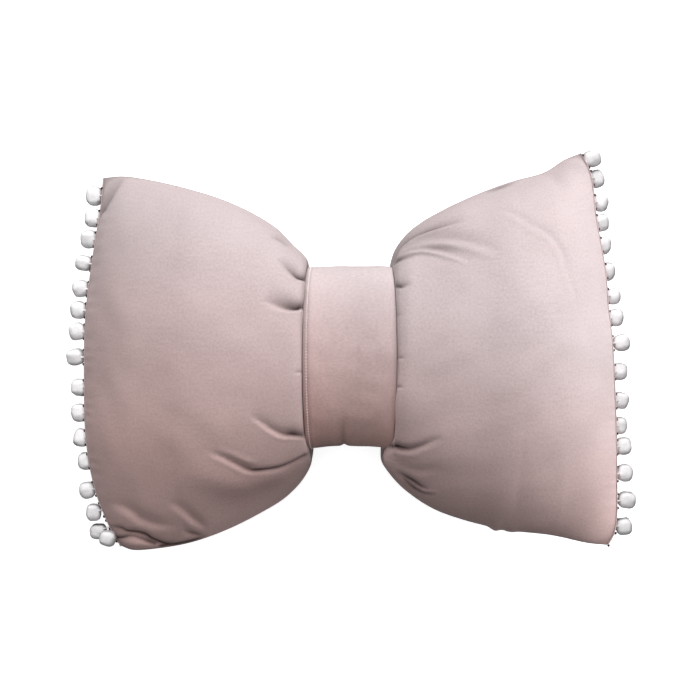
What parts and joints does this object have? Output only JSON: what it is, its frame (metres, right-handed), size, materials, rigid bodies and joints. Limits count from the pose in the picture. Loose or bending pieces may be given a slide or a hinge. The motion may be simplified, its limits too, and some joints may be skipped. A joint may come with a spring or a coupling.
{
  "type": "bow-shaped throw pillow",
  "caption": "Bow-shaped throw pillow: two puffed wings gathered into a wrapped centre band, with pompom trim along both end seams.",
  "frame": {"origin": "on the surface the pillow lies on, under the middle of its outline", "axes": "+X along the bow, +Y up the bow as its face is read, +Z out of its face"},
  "size_m": [0.5342, 0.3753, 0.1456],
  "materials": {
    "velvet": "brushed matte, dusty pink",
    "band_velvet": "brushed matte, dusty pink",
    "pompom_yarn": "matte cotton pile, white"
  },
  "bodies": {
    "root": {"bow_cushion": "velvet", "centre_band": "band_velvet", "pompom_trim_left": "pompom_yarn", "pompom_trim_right": "pompom_yarn"}
  },
  "joints": []
}
